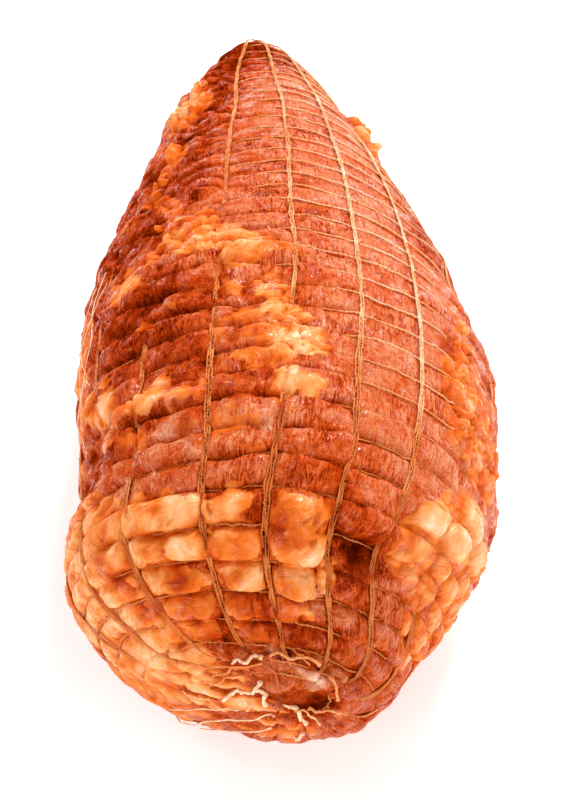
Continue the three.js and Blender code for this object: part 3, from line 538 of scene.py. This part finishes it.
class Skin:
    """The ham's surface on a grid of cord and ring numbers: heights and tissue."""

    def __init__(self, cord, ring):
        self.cord = cord
        self.ring = ring
        self.place = surface(cord, ring)[0]
        self.width, self.length = pitches(cord, ring)
        self.bare = 1 - smooth(0.85, 1.0, ring)
        self.sunk = share(SUNK_NET, cord, ring)
        self.grains = share(GRAINS, cord, ring)
        self.rugged = share(RUGGED, cord, ring)
        warped = self.place + self.warp(5)
        self.wide_wall, self.cell = cells(warped, 11, 21)
        self.fine_wall, self.fine_cell = cells(self.place + 0.5 * self.warp(3), 5.5, 31)
        self.folds = np.abs(noise(warped, 6, 62))
        broad = smooth(0, 0.5, np.abs(noise(warped, 7, 71)))
        small = smooth(0, 0.5, np.abs(self.noise(4, 72)))
        self.lumpy = broad * (0.5 + 0.5 * small)
        self.fat_lumps = FAT_LUMPS + small_lumps()
        self.find_tissue()
        self.find_swell()
        self.find_height()
        self.find_cavity()

    def noise(self, size, seed):
        return noise(self.place, size, seed)

    def warp(self, size):
        return np.stack([self.noise(size, seed) for seed in (81, 82, 83)], -1) * size * 0.3

    def find_tissue(self):
        """Fat, darker meat (dry, smoked meat, and painted shade in a cleft, crevices, a hollow and dents) and
        tones, with ragged borders.
        """
        cord = self.cord + 0.12 * self.noise(11, 47) + 0.05 * self.noise(4, 48)
        ring = self.ring + 0.3 * self.noise(11, 49) + 0.12 * self.noise(4, 50)
        hidden = smooth(3.9, 4.8, np.abs(cords_apart(cord, 0))) * smooth(5, 8, ring)
        self.strip = noise(self.place * STRIP_SHAPE, 1, 69)
        self.fat = self.fat_share(cord, ring, hidden)
        dark = patches(DARK, cord, ring) + 0.35 * hidden * smooth(0, 0.6, self.noise(30, 45))
        self.dark = 1.1 * (1 - np.exp(-np.clip(dark, 0, 2)))
        self.lean_tone = self.tone_of_lean(cord, ring)
        self.fat_tone = self.tone_of_fat(cord, ring, hidden)

    def fat_share(self, cord, ring, hidden):
        """How much of the skin is fat: patches where it shows, and a mottle where it is hidden."""
        mottle = 0.5 * self.noise(24, 41) + 0.5 * self.noise(11, 42)
        own = 1.6 * (mottle + 2 * HIDDEN_FAT - 1 + 0.35)
        fat = patches(FAT, cord, ring) * (1 - hidden) + hidden * own
        fat = fat + 0.15 * self.noise(5, 43) + 0.2 * (self.fine_cell - 0.5)
        streaks = 0.7 * self.noise(10, 64) + 0.5 * self.noise(4.5, 65)
        fat = fat + share(STREAKED, cord, ring) * (streaks + 0.1)
        lump = domes(self.fat_lumps, cord, ring)[1]
        meat = domes(MEAT_LUMPS, cord, ring)[1]
        fat = smooth(0.3, 0.7, fat) * (1 - 0.6 * smooth(0, 0.3, meat))
        fat = np.maximum(fat, smooth(0.0, 0.3, lump)) * (1 - self.bare)
        return fat + share(STRIPS, cord, ring) * (smooth(-0.15, 0.25, self.strip) - fat)

    def tone_of_lean(self, cord, ring):
        tone = 0.47 + 0.05 * self.noise(16, 56) + 0.06 * self.noise(5, 57) - 0.3 * self.dark
        # Painted sheen: the lean is paler where the pillows are flatter. Painted light and shade: in the
        # rugged meat it is paler on the lumps and darker between them, as the relief rises and falls.
        tone += 0.14 * flatness(cord, ring) + 0.15 * self.rugged * (self.lumpy - 0.4)
        return tone + patches(LEAN_SHIFTS, cord, ring) + 0.12 * self.bare * self.noise(5, 63)

    def tone_of_fat(self, cord, ring, hidden):
        pale = share(PALE, cord, ring) + 0.4 * hidden * (self.cell - 0.3)
        grain = self.grains * (rounded(self.fine_wall, 2.0) - 0.6)
        lump = domes(self.fat_lumps, self.cord, self.ring)[1]
        tone = 0.62 + 0.2 * pale - 0.28 * share(LEAN_SPOTS, cord, ring) + 0.14 * (self.fine_cell - 0.5)
        tone += 0.1 * self.noise(8, 58) + 0.12 * self.noise(4, 59) - 0.12 * self.dark
        tone += 0.2 * grain + 0.14 * smooth(0, 0.35, lump) - 0.08
        # Painted shade: the fat is darker along the folds, where the relief is creased.
        tone -= 0.1 * (1 - smooth(0, 0.12, self.folds))
        return tone + share(STRIPS, cord, ring) * (0.3 * smooth(0, 0.6, self.strip) - 0.12)

    def find_swell(self):
        """How far each place has risen out of the net's grooves, from 0 to 1."""
        cord, ring = self.cord, self.ring
        edge = WAVY_EDGE * (self.noise(4.5, 60) + 0.8 * self.noise(10, 68))
        to_cord = np.abs(cord - np.round(cord)) * self.width - 0.4 + edge
        to_ring = np.abs(ring - np.round(ring)) * self.length - 0.2 + edge
        squareness = profile(SQUARENESS, ring) + 0.3 * self.fat
        cord_rounding = np.minimum(profile(CORD_ROUNDING, ring), 0.45 * self.width)
        ring_rounding = np.minimum(profile(RING_ROUNDING, ring), 0.5 * self.length)
        across = rounded(np.maximum(0, to_cord), cord_rounding, squareness)
        along = rounded(np.maximum(0, to_ring), ring_rounding, squareness)
        swell = (1 - profile(CORD_SINK, ring) * (1 - across)) * along
        swell = 1 - (1 - swell) * (1 - self.sunk)
        self.swell = np.where(ring < MOUTH, 0.3, swell)

    def unevenness(self):
        """Crags, folds, grains and lobes over the smooth pillows."""
        calm = 1 - flatness(self.cord, self.ring)
        rough = 0.9 * calm + self.rugged
        uneven = rough * (0.6 * self.noise(9, 51) + 0.4 * self.noise(4.5, 52) + 0.25 * self.noise(2.4, 53))
        uneven -= (0.5 * rough + 0.8 * self.fat * calm) * (1 - smooth(0, 0.14, self.folds))
        uneven += self.grains * (2.2 * rounded(self.fine_wall, 2.2, 2.5) - 1.3)
        uneven += 1.4 * self.rugged * (self.lumpy - 0.4)
        uneven += 1.6 * self.rugged * (rounded(self.wide_wall, 2.5) - 0.8)
        return uneven + 0.4 * calm * self.fat * (rounded(self.fine_wall, 1.3) - 1)

    def find_height(self):
        """Height over the grooves: pillows and lumps, their unevenness and the large forms."""
        cord, ring = self.cord, self.ring
        filling = 1 + UNEVENNESS * (chance(np.floor(cord), np.floor(ring)) - 0.5) * (1 - self.sunk)
        full = profile(PILLOW, ring) * filling * (1 - flatness(cord, ring))
        pillow = full * (1 + 0.2 * self.fat) * self.swell
        lumps = np.maximum(domes(self.fat_lumps, cord, ring)[0], domes(MEAT_LUMPS, cord, ring)[0])
        lumps *= smooth(TIP + 1, 30, ring) * 0.4 + 0.5
        height = np.maximum(pillow, lumps * (0.35 + 0.65 * self.swell))
        height += np.maximum(smooth(0, 0.7, self.swell), self.bare) * self.unevenness()
        height += self.bare * (1.2 * self.noise(9, 54) + 1.5 * self.lumpy)
        height += 1.2 * share(STRIPS, cord, ring) * (rounded(np.maximum(0, self.strip), 0.5) - 0.5)
        pressed = smooth(PRESSED_FROM, PRESSED_BELOW, self.place[..., 2]) * (ring > MOUTH)
        height = height * (1 - pressed) + pressed * (SEAT + 1.3) * self.swell
        self.height = height + patches(FORMS, cord, ring)

    def find_cavity(self):
        """How far each place lies below its neighbourhood; the meat's material paints shade in the grooves
        and light on the crests from it.
        """
        self.cavity = np.zeros_like(self.height)
        for reach in (2, 5):
            around = spread(spread(self.height, reach, 0), reach, 1)
            self.cavity += np.clip((around - self.height) / (0.5 + 0.25 * reach), -1, 1) / 2


def spread(values, reach, axis):
    """Mean over some grid steps to either side."""
    if axis == 0:
        padded = np.pad(values, ((reach, reach), (0, 0)), mode="edge")
    else:
        padded = np.pad(values, ((0, 0), (reach, reach)), mode="wrap")
    total = np.cumsum(padded, axis=axis)
    total = np.concatenate([np.zeros_like(np.take(total, [0], axis=axis)), total], axis=axis)
    count = 2 * reach + 1
    high = np.take(total, np.arange(count, total.shape[axis]), axis=axis)
    low = np.take(total, np.arange(0, total.shape[axis] - count), axis=axis)
    return (high - low) / count


def new_object(name, places, faces, material):
    """A mesh object from places in millimetres."""
    mesh = bpy.data.meshes.new(name)
    mesh.from_pydata((places / 1000).tolist(), [], faces)
    mesh.validate()
    mesh.polygons.foreach_set("use_smooth", [True] * len(mesh.polygons))
    mesh.materials.append(material)
    piece = bpy.data.objects.new(name, mesh)
    bpy.context.collection.objects.link(piece)
    return piece


def add_values(piece, name, values):
    """A value for each point of a mesh, which its material reads."""
    layer = piece.data.attributes.new(name, "FLOAT", "POINT")
    layer.data.foreach_set("value", np.asarray(values, np.float32).ravel())


def add_net_map(piece, cords, rings):
    """Net coordinates of each face corner, without a jump where the cord numbers start anew."""
    loops = np.empty(len(piece.data.loops), np.int32)
    piece.data.loops.foreach_get("vertex_index", loops)
    starts = np.empty(len(piece.data.polygons), np.int32)
    sizes = np.empty_like(starts)
    piece.data.polygons.foreach_get("loop_start", starts)
    piece.data.polygons.foreach_get("loop_total", sizes)
    first = np.repeat(cords[loops[starts]], sizes)
    cord = first + cords_apart(cords[loops], first)
    layer = piece.data.uv_layers.new(name="net", do_init=False)
    layer.data.foreach_set("uv", np.stack([cord, rings[loops]], -1).astype(np.float32).ravel())


def grid_faces(rows, columns):
    """Quads between rows of points that close round the ham."""
    row, column = np.meshgrid(np.arange(rows - 1), np.arange(columns), indexing="ij")
    after = (column + 1) % columns
    here = row * columns
    there = here + columns
    quads = [here + column, here + after, there + after, there + column]
    return np.stack(quads, -1).reshape(-1, 4).tolist()


def gathered(steps, count):
    """Even steps, drawn towards the whole numbers."""
    even = np.arange(round(steps * count) + 1) / count
    return even - GATHERED * np.sin(2 * np.pi * even) / (2 * np.pi)


def columns_round():
    """Cord numbers of the mesh's columns."""
    start = math.floor(FINE_FROM)
    fine = start + gathered(FINE_TO - start, FINE_COLUMNS)
    fine = fine[(fine >= FINE_FROM - 1e-6) & (fine < FINE_TO - 1e-6)]
    coarse = np.arange(FINE_TO, CORDS + FINE_FROM, 1 / COARSE_COLUMNS)
    return np.concatenate([fine, coarse])


def centre_of(ring):
    return np.array([profile(CENTRE_X, ring), profile(CENTRE_Y, ring), profile(CENTRE_Z, ring)]) - BOX_MIDDLE


def past_tip(distance):
    line = centre_of(TIP) - centre_of(TIP - 1)
    return centre_of(TIP) + distance * line / np.linalg.norm(line)


def make_ham(material):
    columns = columns_round()
    rows = gathered(TIP, ROWS)
    ring, cord = np.meshgrid(rows, columns, indexing="ij")
    skin = Skin(cord, ring)
    places = lifted(cord, ring, skin.height).reshape(-1, 3)
    ends = [centre_of(0), past_tip(TIP_THICKNESS)]
    ends[0][1] = places[:len(columns), 1].mean()  # level with the edge round it
    count = len(places)
    faces = grid_faces(len(rows), len(columns))
    last = count - len(columns)
    for k in range(len(columns)):
        after = (k + 1) % len(columns)
        faces.append((count, after, k))
        faces.append((last + k, last + after, count + 1))
    ham = new_object("ham_meat", np.vstack([places, ends]), faces, material)
    for name in ("lean_tone", "fat_tone", "fat", "cavity", "grains", "rugged"):
        values = getattr(skin, name).ravel()
        add_values(ham, name, np.append(values, [values[0], values[-1]]))
    add_net_map(ham, np.append(cord.ravel(), [0, 0]), np.append(ring.ravel(), [0, TIP]))
    return ham


class Strands:
    """Collects thin strands and makes one mesh of them."""

    def __init__(self, sides):
        self.sides = sides
        self.places = []
        self.clean = []
        self.faces = []
        self.count = 0

    def add(self, line, across, up, radius, clean, closed=False):
        """A strand beside a line, which is its places with the cross and outward direction at each."""
        path, side, outward = line
        values = (across, up, radius, clean)
        across, up, radius, clean = (np.broadcast_to(value, len(path)) for value in values)
        path = path + side * across[:, None] + outward * up[:, None]
        turn = (2 * np.pi * np.arange(self.sides) / self.sides)[:, None]
        spokes = np.cos(turn) * side[:, None] + np.sin(turn) * outward[:, None]
        places = path[:, None] + radius[:, None, None] * spokes
        places[..., 2] = np.maximum(places[..., 2], ABOVE_TABLE)
        self.places.append(places.reshape(-1, 3))
        self.clean.append(np.repeat(clean, self.sides))
        steps = len(path)
        for k in range(steps if closed else steps - 1):
            here = self.count + k * self.sides
            there = self.count + (k + 1) % steps * self.sides
            for j in range(self.sides):
                after = (j + 1) % self.sides
                self.faces.append((here + j, here + after, there + after, there + j))
        if not closed:
            end = self.count + (steps - 1) * self.sides
            self.faces.append(tuple(self.count + j for j in reversed(range(self.sides))))
            self.faces.append(tuple(end + j for j in range(self.sides)))
        self.count += steps * self.sides

    def make(self, name, material):
        piece = new_object(name, np.vstack(self.places), self.faces, material)
        add_values(piece, "clean", np.concatenate(self.clean))
        return piece


def net_path(cord, ring, lift, closed=False, depth=SUNK_DEPTH):
    """A line on the taut net, with its cross and outward directions."""
    cord, ring = np.broadcast_arrays(np.asarray(cord, float), np.asarray(ring, float))
    large = patches(FORMS, cord, ring)
    large = np.where(large < DEEPEST_NET, DEEPEST_NET + 0.25 * (large - DEEPEST_NET), large)
    path = lifted(cord, ring, large + lift - depth * share(SUNK_NET, cord, ring))
    outward = surface(cord, ring)[1]
    if closed:
        along = np.roll(path, -1, 0) - np.roll(path, 1, 0)
    else:
        along = np.gradient(path, axis=0)
    side = np.cross(along, outward)
    side /= np.linalg.norm(side, axis=-1, keepdims=True)
    return path, side, outward


def arc(path):
    """The way along a path to each of its places."""
    return np.concatenate([[0], np.cumsum(np.linalg.norm(np.diff(path, axis=0), axis=-1))])


def at_ways(line, way, ways):
    """The places and directions of a line at other ways along it."""
    return [np.stack([np.interp(ways, way, part[:, k]) for k in range(3)], -1) for part in line]


def own_places(way, number):
    """Places for a noise along a strand that differs from the next strand's."""
    return np.stack([way, np.full_like(way, number), way * 0], -1)


def cord_lift(cord, ring):
    """How high a cord runs over the form: it is sunk less and less between the pillows."""
    cord = np.full_like(ring, cord)
    raised = 0.8 * profile(PILLOW, ring) * (1 - profile(CORD_SINK, ring)) * (1 - flatness(cord, ring))
    low = 0.8 * smooth(19, 10, ring) * (1 - flatness(cord, ring))
    low -= 0.8 * smooth(5, 2, ring) + 0.8 * smooth(2.6, 1.4, ring)
    return 0.9 + low + raised - 0.5 * share(RUGGED, cord, ring)


def paleness(cord, ring, place, seed):
    """How little smoke a stretch of the net has taken up."""
    spared = flatness(cord, ring) * smooth(9, 14, ring)
    return np.clip(0.24 + 0.9 * spared + 0.2 * noise(place, 1, seed), 0, 1)


def add_cord(strands, cord):
    """Three straight strands, and one that is knitted to and fro over them."""
    ring = np.linspace(MOUTH - 0.1, TIP, CORD_STEPS)
    cords = np.full_like(ring, cord)
    line = net_path(cord, ring, cord_lift(cord, ring))
    way = arc(line[0])
    place = own_places(way / 7, 5.3 * cord)
    widest = profile(CORD_HALF_WIDTH, ring)
    narrow = np.clip(0.3 * pitches(cords, ring)[0] / widest, 0.15, 1)
    half = widest * narrow * (1 + 0.3 * noise(place, 1, 61))
    pale = paleness(cords, ring, place, 66)
    knot = 0.15 * np.cos(np.pi * ring) ** 16
    radius = (profile(STRAND_RADIUS, ring) + knot) * np.clip(narrow * 1.3, 0.5, 1)
    for number, lane in enumerate(LANES):
        across = lane * half + 0.3 * narrow * noise(place * 2.7, 1, 61 + number)
        strands.add(line, across, 0.15 * noise(place * 2, 1, 66 + number), radius, pale)
    knots = np.arange(0, way[-1], STITCH / 4)
    phase = 2 * np.pi * knots / STITCH + 1.5 * noise(own_places(knots / 3, 2.1 * cord), 1, 70)
    zigzag = np.interp(knots, way, half) * 1.25 * np.sin(phase)
    hump = 0.12 + 0.12 * np.cos(2 * phase)
    radius = np.interp(knots, way, profile(STRAND_RADIUS, ring))
    strands.add(at_ways(line, way, knots), zigzag, hump, radius, np.interp(knots, way, pale))


def make_cords(material):
    strands = Strands(4)
    for cord in range(CORDS):
        add_cord(strands, cord)
    return strands.make("net_cords", material)


def thread_samples(ring):
    """Cord numbers along a ring thread, closer where the camera sees them."""
    width = float(pitches(np.zeros(1), np.full(1, float(ring)))[0][0])
    fine = max(4, round(width / THREAD_STEP))
    coarse = max(2, round(width / HIDDEN_THREAD_STEP))
    front = np.arange(FINE_FROM, FINE_TO, 1 / fine)
    rest = np.arange(FINE_TO, CORDS + FINE_FROM, 1 / coarse)
    return np.concatenate([front, rest])


def make_threads(material):
    strands = Strands(4)
    for ring in range(MOUTH, LAST_RING + 1):
        cord = thread_samples(ring)
        rings = np.full_like(cord, ring)
        place = wrapped(cord, 6, 3.1 * rings)
        flat = flatness(cord, rings)
        level = 0.65 * profile(PILLOW, ring) * (1 - flat) * smooth(0.1, 0.4, flat) * smooth(8, 12, ring)
        lift = 0.45 + level + 0.3 * noise(place, 1, 74)
        line = net_path(cord, ring + 0.05 * noise(place * 4, 1, 75), lift, closed=True)
        path = line[0]
        way = arc(path)
        turns = round(way[-1] / PLY_TWIST)
        phase = 2 * np.pi * turns * way / (way[-1] + np.linalg.norm(path[0] - path[-1])) + ring
        pale = paleness(cord, rings, place, 76)
        for ply in (0, np.pi):
            across = 0.75 * PLY_RADIUS * np.cos(phase + ply)
            up = 0.75 * PLY_RADIUS * np.sin(phase + ply)
            strands.add(line, across, up, PLY_RADIUS, pale, closed=True)
    return strands.make("net_threads", material)


def make_ends(material):
    """Loose elastic strands: cut ends that curl over the bare meat, and a few on the left side."""
    strands = Strands(6)
    for number, (thickness, clean, points) in enumerate(LOOSE_STRANDS):
        knots = np.linspace(0, len(points) - 1, CURL_STEPS * len(points))
        cord, ring = (profile(list(enumerate(values)), knots) for values in zip(*points))
        place = own_places(knots * 2.2, 3.7 * number)
        lift = 1.6 + 0.5 * noise(place, 1, 72) + 0.7 * profile(PILLOW, ring) * smooth(0.9, 1.3, ring)
        thick_end = 0.4 * smooth(0.9, 0.97, knots / knots[-1])
        radius = thickness * (0.8 + 0.3 * noise(place * 4, 1, 73) + thick_end)
        clean = clean + 0.2 * noise(place * 1.5, 1, 77)
        strands.add(net_path(cord, ring, lift, depth=0), 0, 0, radius, clean)
    return strands.make("net_ends", material)


def srgb(red, green, blue):
    """A colour as seen on a screen, made linear."""
    shares = (red / 255, green / 255, blue / 255)
    return tuple(s / 12.92 if s <= 0.04045 else ((s + 0.055) / 1.055) ** 2.4 for s in shares) + (1.0,)


class Shader:
    """A material's node tree, with short calls for the nodes used here."""

    def __init__(self, name):
        self.material = bpy.data.materials.new(name)
        self.material.use_nodes = True
        self.tree = self.material.node_tree
        self.tree.nodes.clear()

    def put(self, socket, value):
        if isinstance(value, bpy.types.NodeSocket):
            self.tree.links.new(value, socket)
        elif value is not None:
            socket.default_value = value

    def node(self, kind, *values, output=0, settings=(), **named):
        node = self.tree.nodes.new("ShaderNode" + kind)
        for key, value in settings:
            setattr(node, key, value)
        for socket, value in zip(node.inputs, values):
            self.put(socket, value)
        for name, value in named.items():
            self.put(node.inputs[name.replace("_", " ")], value)
        return node.outputs[output]

    def math(self, operation, *values):
        return self.node("Math", *values, settings=[("operation", operation)])

    def add(self, first, second):
        return self.math("ADD", first, second)

    def times(self, first, second):
        return self.math("MULTIPLY", first, second)

    def times_add(self, value, factor, more):
        return self.math("MULTIPLY_ADD", value, factor, more)

    def value(self, name):
        return self.node("Attribute", output=2, settings=[("attribute_name", name)])

    def millimetres(self):
        """Places on the piece in millimetres."""
        place = self.node("TexCoord", output=3)
        return self.node("VectorMath", place, (1000.0, 1000.0, 1000.0), settings=[("operation", "MULTIPLY")])

    def noise(self, vector, scale, detail=3.0, distortion=0.0):
        return self.node("TexNoise", Vector=vector, Scale=scale, Detail=detail, Roughness=0.55,
                         Distortion=distortion)

    def walls(self, vector, scale):
        """The way from each place to the nearest wall of a pattern of cells."""
        return self.node("TexVoronoi", Vector=vector, Scale=scale, settings=[("feature", "DISTANCE_TO_EDGE")])

    def warped(self, vector, scale, amount):
        """Places moved about by a noise."""
        swirl = self.node("TexNoise", Vector=vector, Scale=scale, output=1)
        return self.node("VectorMath", swirl, (amount, amount, amount), vector,
                         settings=[("operation", "MULTIPLY_ADD")])

    def lines(self, value, width):
        """0 on the wandering lines where a noise value crosses its middle, and 1 between them."""
        return self.between(self.math("ABSOLUTE", self.math("SUBTRACT", value, 0.5)), 0.0, width)

    def darker_lines(self, tone, lines, amount):
        """A tone lowered on the lines."""
        return self.math("SUBTRACT", tone, self.times(self.math("SUBTRACT", 1.0, lines), amount))

    def between(self, value, low, high, start=0.0, end=1.0):
        return self.node("MapRange", value, low, high, start, end,
                         settings=[("interpolation_type", "SMOOTHSTEP")])

    def ramp(self, value, stops):
        """Colours at places from 0 to 1."""
        node = self.tree.nodes.new("ShaderNodeValToRGB")
        self.tree.links.new(value, node.inputs[0])
        marks = node.color_ramp.elements
        while len(marks) < len(stops):
            marks.new(0.5)
        for mark, (place, colour) in zip(marks, stops):
            mark.position = place
            mark.color = srgb(*colour)
        return node.outputs[0]

    def sway(self, value, amount):
        """A noise value turned into a change of up to this amount either way."""
        return self.times_add(value, 4 * amount, -2 * amount)

    def mix(self, factor, first, second):
        node = self.tree.nodes.new("ShaderNodeMix")
        node.data_type = "RGBA"
        for number, value in ((0, factor), (6, first), (7, second)):
            self.put(node.inputs[number], value)
        return node.outputs[2]

    def bump(self, height, distance, strength, normal=None):
        return self.node("Bump", Height=height, Distance=distance, Strength=strength, Normal=normal)

    def finish(self, **sockets):
        output = self.tree.nodes.new("ShaderNodeOutputMaterial")
        self.put(output.inputs["Surface"], self.node("BsdfPrincipled", **sockets))
        return self.material


class Meat(Shader):
    """Smoked meat: the tones of its lean and fat, and its relief."""

    def __init__(self):
        super().__init__("smoked_meat")
        place = self.millimetres()
        self.place = place
        self.grains = self.value("grains")
        self.rugged = self.value("rugged")
        self.medium = self.noise(place, 0.2, detail=2)
        self.fine = self.noise(place, 0.6, detail=2)
        self.patchy = self.between(self.medium, 0.35, 0.65)
        self.pleats = self.lines(self.pleat_noise(), 0.06)
        self.curls = self.lines(self.noise(place, 0.42, detail=2, distortion=2.5), 0.05)
        self.folds = self.lines(self.noise(place, 0.12, detail=2, distortion=1.2), 0.08)
        self.lobes = self.between(self.walls(self.warped(place, 0.3, 3.0), 0.3), 0.0, 0.2)
        # Painted shade and painted highlight: both tones of the meat are darker in the grooves and a little
        # paler on the crests.
        cavity = self.value("cavity")
        crest_light = self.times(self.between(cavity, 0.0, -0.6), 0.05)
        self.shade = self.add(self.times(self.between(cavity, 0.0, 0.8), -0.1), crest_light)

    def pleat_noise(self):
        """Noise stretched into the fine pleats that the net has pressed into each mesh of meat."""
        cord = self.node("SeparateXYZ", self.node("UVMap", settings=[("uv_map", "net")]))
        ring = cord.node.outputs[1]
        mesh_ring = self.math("FLOOR", ring)
        crowded = self.between(mesh_ring, 16.0, 40.0, 15.0, 5.0)
        across = self.times_add(mesh_ring, 7.7, self.times(cord, crowded))
        stretched = self.node("CombineXYZ", across, self.times(ring, 1.2), 0.0)
        return self.noise(stretched, 1.0, detail=3, distortion=0.6)

    def lean_tone(self):
        broad = self.between(self.noise(self.place, 0.08, detail=2), 0.42, 0.6)
        even = self.times_add(self.rugged, -0.6, 1.0)
        blotches = self.times(self.sway(self.medium, 0.1), self.add(self.rugged, 0.7))
        crags = self.times(self.rugged, self.sway(self.noise(self.place, 0.12, detail=3), 0.12))
        tone = self.add(self.value("lean_tone"), blotches)
        # Painted shade: the tone is lowered along the pleats and curls, the lines where the relief's bump
        # cuts its fine creases.
        tone = self.darker_lines(tone, self.pleats, self.times(even, self.times_add(broad, 0.2, 0.06)))
        tone = self.darker_lines(tone, self.curls, self.times_add(broad, -0.08, 0.17))
        tone = self.add(tone, crags)
        tone = self.add(tone, self.sway(self.fine, 0.06))
        return self.add(tone, self.shade)

    def fat_tone(self):
        tone = self.add(self.value("fat_tone"), self.sway(self.medium, 0.12))
        tone = self.add(tone, self.sway(self.fine, 0.04))
        tone = self.darker_lines(tone, self.lobes, self.times(self.grains, self.times(self.patchy, 0.16)))
        # Painted shade: the tone is lowered along the folds, where the relief's bump cuts its creases.
        tone = self.darker_lines(tone, self.folds, self.times(self.patchy, 0.08))
        return self.add(tone, self.shade)

    def relief(self, fat):
        """Pleats and curls in the lean, lobes in the grainy fat, folds and fine grain in both."""
        skin = self.bump(self.math("MAXIMUM", self.pleats, fat), 0.0003, 0.6)
        skin = self.bump(self.math("MAXIMUM", self.curls, self.times(fat, 0.8)), 0.00025, 0.5, skin)
        lobes = self.math("MAXIMUM", self.lobes, self.math("SUBTRACT", 1.0, self.grains))
        skin = self.bump(lobes, 0.0005, 0.5, skin)
        skin = self.bump(self.folds, 0.0006, 0.5, skin)
        return self.bump(self.fine, 0.0005, 0.4, skin)


def meat_material():
    s = Meat()
    ragged = s.add(s.value("fat"), s.sway(s.noise(s.place, 0.3, detail=4), 0.3))
    fat = s.between(ragged, 0.3, 0.7)
    lean_tone = s.lean_tone()
    colour = s.mix(fat, s.ramp(lean_tone, LEAN_TONES), s.ramp(s.fat_tone(), FAT_TONES))
    wet = s.between(s.noise(s.place, 0.25, detail=2), 0.52, 0.6)
    gloss = s.times_add(wet, s.times_add(s.rugged, 0.25, 0.3), 0.07)
    gloss = s.times(s.between(lean_tone, 0.2, 0.5), gloss)
    return s.finish(Base_Color=colour, Roughness=s.times_add(wet, -0.28, 0.4), Normal=s.relief(fat),
                    Specular_IOR_Level=gloss, Subsurface_Weight=0.4, Subsurface_Radius=(1.0, 0.3, 0.06),
                    Subsurface_Scale=0.003)


def net_material():
    s = Shader("netting")
    place = s.millimetres()
    fibre = s.noise(place, 1.6, detail=4)
    colour = s.ramp(s.add(s.value("clean"), s.sway(s.noise(place, 0.2), 0.1)), NET_TONES)
    colour = s.mix(s.times(s.between(fibre, 0.48, 0.7), 0.55), colour, srgb(*FIBRE_COLOUR))
    return s.finish(Base_Color=colour, Roughness=0.5, Normal=s.bump(fibre, 0.0002, 0.8),
                    Specular_IOR_Level=0.3, Subsurface_Weight=0.1, Subsurface_Radius=(1.0, 0.5, 0.2),
                    Subsurface_Scale=0.001)


def floor_material():
    """White paper, lit a little from below so that the shadow stays faint."""
    s = Shader("paper")
    grain = s.noise(s.node("TexCoord", output=3), 60.0)
    colour = s.mix(grain, (0.9, 0.9, 0.9, 1.0), (0.92, 0.92, 0.92, 1.0))
    return s.finish(Base_Color=colour, Roughness=0.95, Emission_Color=colour, Emission_Strength=0.5)


def make_camera():
    azimuth = math.radians(AZIMUTH)
    elevation = math.radians(ELEVATION)
    back = Vector((math.sin(azimuth) * math.cos(elevation), -math.cos(azimuth) * math.cos(elevation),
                   math.sin(elevation)))
    data = bpy.data.cameras.new("camera")
    data.sensor_fit = "HORIZONTAL"
    data.sensor_width = SENSOR
    data.lens = LENS
    camera = bpy.data.objects.new("camera", data)
    camera.location = AIM + DISTANCE * back
    camera.rotation_euler = back.to_track_quat("Z", "Y").to_euler()
    bpy.context.collection.objects.link(camera)
    bpy.context.scene.camera = camera


def make_lamp(name, place, size, watts, colour):
    data = bpy.data.lights.new(name, "AREA")
    data.shape = "DISK"
    data.size = size
    data.energy = watts
    data.color = colour
    lamp = bpy.data.objects.new(name, data)
    lamp.location = place
    lamp.rotation_euler = (Vector(place) - AIM).to_track_quat("Z", "Y").to_euler()
    bpy.context.collection.objects.link(lamp)


def make_studio():
    world = bpy.data.worlds.new("studio")
    world.use_nodes = True
    background = world.node_tree.nodes["Background"]
    background.inputs["Color"].default_value = (1.0, 1.0, 1.0, 1.0)
    background.inputs["Strength"].default_value = WORLD_LIGHT
    bpy.context.scene.world = world
    bpy.context.scene.view_settings.view_transform = "Standard"
    for lamp in LAMPS:
        make_lamp(*lamp)
    corners = np.array([(-1, -1, 0), (1, -1, 0), (1, 1, 0), (-1, 1, 0)]) * FLOOR_HALF
    floor = new_object("floor", corners, [(0, 1, 2, 3)], floor_material())


make_camera()
make_studio()

ham = make_ham(meat_material())
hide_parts("ham")
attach(ham, "root")

netting = net_material()
for piece in (make_cords(netting), make_threads(netting), make_ends(netting)):
    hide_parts("net")
    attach(piece, "root")
